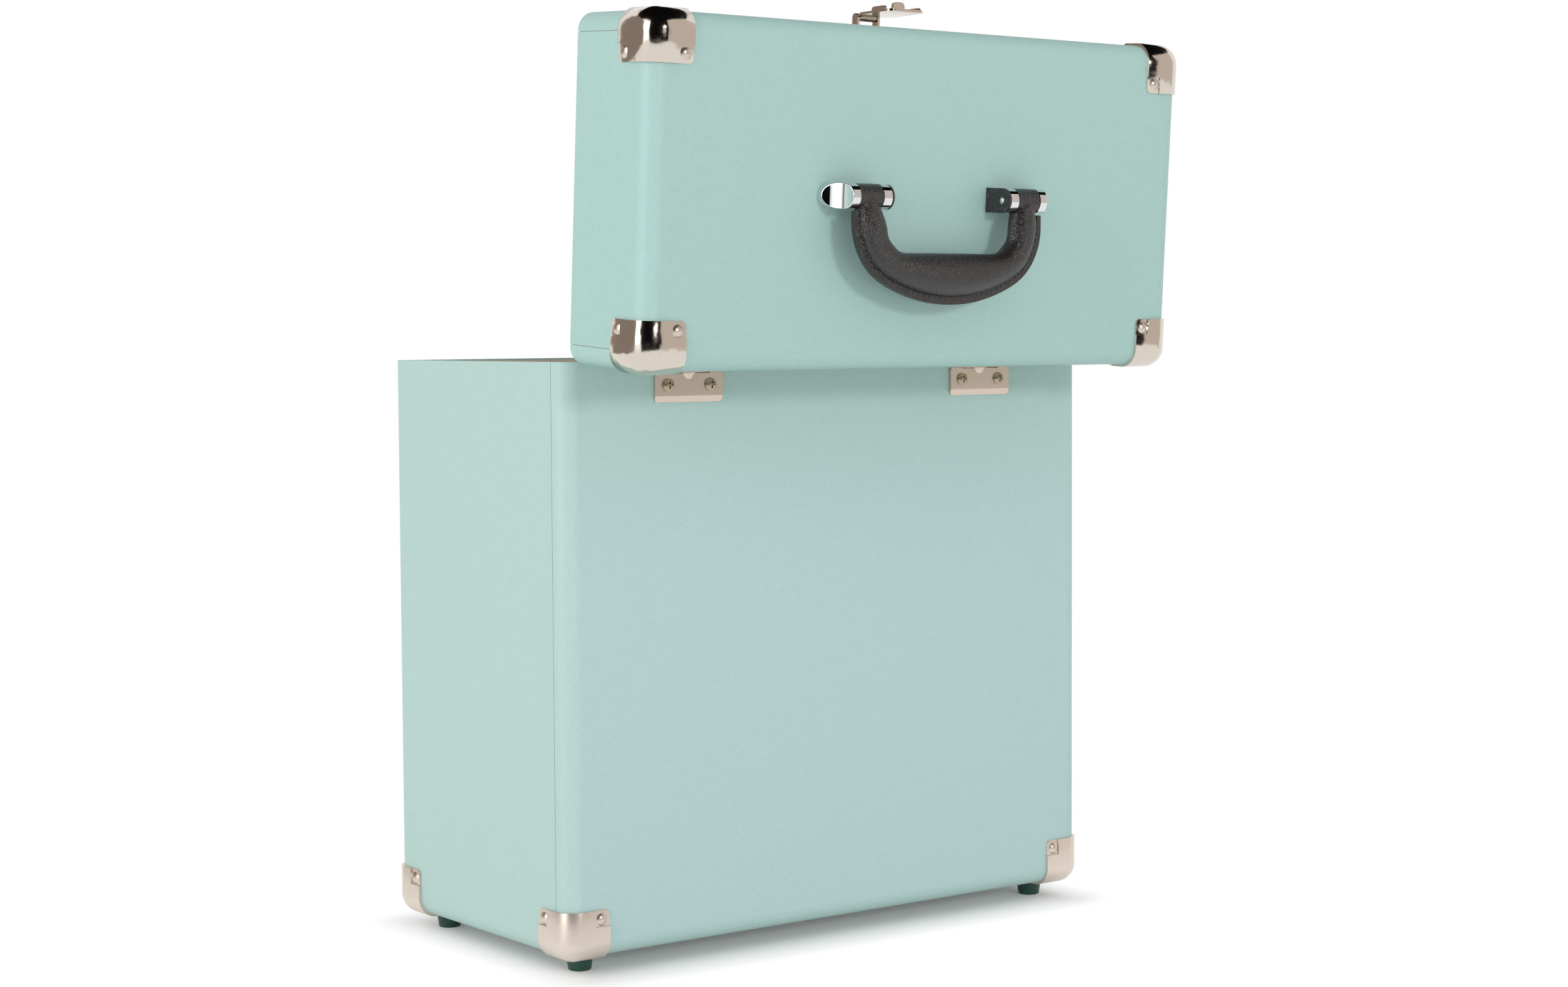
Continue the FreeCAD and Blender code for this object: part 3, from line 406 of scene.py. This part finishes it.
print("thread pieces:", len(curve.splines))

# %% [markdown]
# The thread is spun polyester sewing thread, black, with a fine twist: paler than the moulding where its
# fibres catch the light. Along an axis, a diagonal wave pattern of scale 1 repeats 10 times in a length of
# tau, so its scale is worked out from that and from the length of one twist.

# %% Finish of the thread
TWIST_MM = 1.0
WAVES_IN_TAU = 10

thread, tree, shader = new_material("black_polyester_thread", Roughness=0.6, IOR=1.5, Sheen_Weight=0.3)
place = add(tree, "TexCoord").outputs["Object"]
twist = add(tree, "TexWave", {"Vector": place, "Scale": math.tau / (WAVES_IN_TAU * TWIST_MM * MM)},
            bands_direction="DIAGONAL")
mix = add(tree, "MixRGB", {
    "Fac": twist.outputs["Fac"], "Color1": linear("#35312e"), "Color2": linear("#4f4a46")})
tree.links.new(mix.outputs["Color"], shader.inputs["Base Color"])
curve.materials.append(thread)
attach(stitches, "handle")
print("thread twist in mm:", TWIST_MM)

# %% [markdown]
# ## Rubber feet
# The feet are dark green moulded rubber, slightly shiny where the mould was polished, with the cloudy bloom
# that rubber gets.

# %% Feet
BLOOM_MM = 2

foot_rubber, tree, shader = new_material("green_rubber", Roughness=0.42, IOR=1.52)
place = add(tree, "TexCoord").outputs["Object"]
bloom = add(tree, "TexNoise", {"Vector": place, "Scale": 1 / (BLOOM_MM * MM), "Detail": 3.0})
mix = add(tree, "MixRGB", {
    "Fac": bloom.outputs["Fac"], "Color1": linear("#0e3a31"), "Color2": linear("#17493d")})
tree.links.new(mix.outputs["Color"], shader.inputs["Base Color"])
dress(foot_rubber, *("foot_" + c for c in corners))
print("feet:", len(corners))

# %% [markdown]
# ## Floor
# A white sweep: close to the box the floor is an ordinary pale surface that takes its soft shadow, and
# within a few centimetres it turns into the plain white of the background. The distance that steers this is
# measured from a rectangle a little narrower than the box, not from its middle, so that the white keeps
# about the same margin all round.

# %% Floor
FLOOR_SIZE = 12
SHADED_HALF_W = 0.160       # rectangle that the fading starts from, in metres
SHADED_HALF_D = 0.0865
SHADOW_MARGIN = 0.028       # width of the fading
LEAST_WHITE = 0.12          # share of plain white beside the box

bpy.ops.mesh.primitive_plane_add(size=FLOOR_SIZE, location=(0, 0, 0))
floor = bpy.context.object
floor.name = "floor"
white, tree, shader = new_material("white_floor", Roughness=0.9)
shader.inputs["Base Color"].default_value = linear("#f4f4f4")
place = add(tree, "TexCoord").outputs["Object"]
half_box = Vector((SHADED_HALF_W, SHADED_HALF_D, 0.0))
mirrored = add(tree, "VectorMath", {0: place}, operation="ABSOLUTE")
beyond = add(tree, "VectorMath", {0: mirrored.outputs["Vector"], 1: half_box}, operation="SUBTRACT")
outside = add(tree, "VectorMath", {0: beyond.outputs["Vector"], 1: (0, 0, 0)}, operation="MAXIMUM")
reach = add(tree, "VectorMath", {0: outside.outputs["Vector"]}, operation="LENGTH")
fade = add(tree, "MapRange", {"Value": reach.outputs["Value"], "From Min": 0.0, "From Max": SHADOW_MARGIN,
                              "To Min": LEAST_WHITE})
rays = add(tree, "LightPath").outputs
seen = add(tree, "Math", {0: rays["Is Camera Ray"], 1: rays["Is Glossy Ray"]}, operation="MAXIMUM")
share = add(tree, "Math", {0: seen.outputs["Value"], 1: fade.outputs["Result"]}, operation="MULTIPLY")
glow = add(tree, "Emission", {"Color": (1, 1, 1, 1), "Strength": 1.0})
both = add(tree, "MixShader", {
    0: share.outputs["Value"], 1: shader.outputs["BSDF"], 2: glow.outputs["Emission"]})
tree.links.new(both.outputs["Shader"], tree.nodes["Material Output"].inputs["Surface"])
floor.data.materials.append(white)
print("floor shadow fades out over, in m:", SHADOW_MARGIN)

# %% [markdown]
# ## Surroundings
# The background is white to the eye and in reflections, and a softer white as light, so that the lamps can
# still shape the box.

# %% World
SOFT_LIGHT = 0.68

world = bpy.data.worlds.new("studio")
bpy.context.scene.world = world
world.use_nodes = True
tree = world.node_tree
sky = tree.nodes["Background"]
sky.inputs["Color"].default_value = (1.0, 1.0, 1.0, 1.0)
sky.inputs["Strength"].default_value = 1.0
soft = add(tree, "Background", {"Color": linear("#faffff"), "Strength": SOFT_LIGHT})
rays = add(tree, "LightPath").outputs
shiny = add(tree, "Math", {0: rays["Is Glossy Ray"], 1: rays["Is Transmission Ray"]}, operation="MAXIMUM")
seen = add(tree, "Math", {0: rays["Is Camera Ray"], 1: shiny.outputs["Value"]}, operation="MAXIMUM")
pick = add(tree, "MixShader", {
    0: seen.outputs["Value"], 1: soft.outputs["Background"], 2: sky.outputs["Background"]})
tree.links.new(pick.outputs["Shader"], tree.nodes["World Output"].inputs["Surface"])
bpy.context.scene.view_settings.view_transform = "Standard"
print("soft light from all round:", SOFT_LIGHT)

# %% [markdown]
# ## Lamps
# A small key stands straight behind the box and a little above it, so that the handle throws a clear shadow
# just below itself; it also shows as a glint on the grain of the grip and on the rivets. A tall lamp on the
# left makes the white streak in the folds of the metal corners, and a broad one beside it lights the side.
# A weak lamp near the floor evens out the lower part of the back. The last two don't show in reflections.

# %% Lamps
def aimed(place, target):
    return (Vector(target) - Vector(place)).to_track_quat("-Z", "Y").to_euler()


def softbox(name, place, target, size, power, mirrored):
    lamp = bpy.data.lights.new(name, "AREA")
    lamp.shape = "RECTANGLE"
    lamp.size, lamp.size_y = size
    lamp.energy = power
    lamp.color = linear("#fffbfa")[:3]
    box = bpy.data.objects.new(name, lamp)
    box.location = place
    box.rotation_euler = aimed(place, target)
    box.visible_glossy = mirrored
    bpy.context.collection.objects.link(box)


softbox("key", (-0.1, 2.3, 0.85), (0, 0.1, 0.35), size=(0.3, 0.3), power=11, mirrored=True)
softbox("side", (2.2, 0.5, 1.0), (0, 0, 0.4), size=(0.7, 1.6), power=17, mirrored=True)
softbox("side_fill", (1.9, -1.3, 0.9), (0, 0, 0.25), size=(1.0, 1.0), power=9, mirrored=False)
softbox("low_fill", (0.5, 2.2, 0.15), (0, 0.09, 0.1), size=(1.4, 0.25), power=2.5, mirrored=False)
print("lamps:", len(bpy.data.lights))

# %% [markdown]
# ## Cards for the metal
# Polished metal in a wholly white room looks like grey paper. Photographers stand dark cards round a shiny
# object, so that its curves show bands of light and dark. The cards here show in reflections only: they
# throw no shadow and take no light from the leatherette. Each stands on a circle round the box and covers a
# span of directions, given in degrees from +X towards +Y.

# %% Dark cards
CARD_AWAY = 2.3
CARD_H = 2.4


def card(name, place, target, size, shade):
    bpy.ops.mesh.primitive_plane_add(size=1, location=place, rotation=aimed(place, target))
    board = bpy.context.object
    board.name = name
    board.scale = (*size, 1)
    paint, tree, _ = new_material(name, Roughness=1.0)
    glow = add(tree, "Emission", {"Color": linear(shade), "Strength": 1.0})
    tree.links.new(glow.outputs["Emission"], tree.nodes["Material Output"].inputs["Surface"])
    board.data.materials.append(paint)
    board.visible_camera = board.visible_diffuse = board.visible_shadow = False


for name, first_deg, last_deg, shade in (
    ("card_left_behind", -80, 0, "#948880"),
    ("card_left", 26, 66, "#0c0c0d"),
    ("card_right", 66, 114, "#0c0c0d"),
    ("card_far_right", 114, 160, "#d5ccc4"),
):
    middle = math.radians((first_deg + last_deg) / 2)
    width = 2 * CARD_AWAY * math.tan(math.radians(last_deg - first_deg) / 2)
    spot = (CARD_AWAY * math.cos(middle), CARD_AWAY * math.sin(middle), CARD_H / 2)
    card(name, spot, (0, 0, CARD_H / 2), (width, CARD_H), shade)
card("card_above", (0, 0, CARD_H), (0, 0, 0), (2 * CARD_AWAY, 2 * CARD_AWAY), "#0c0c0d")
print("cards stand at, in m:", CARD_AWAY)
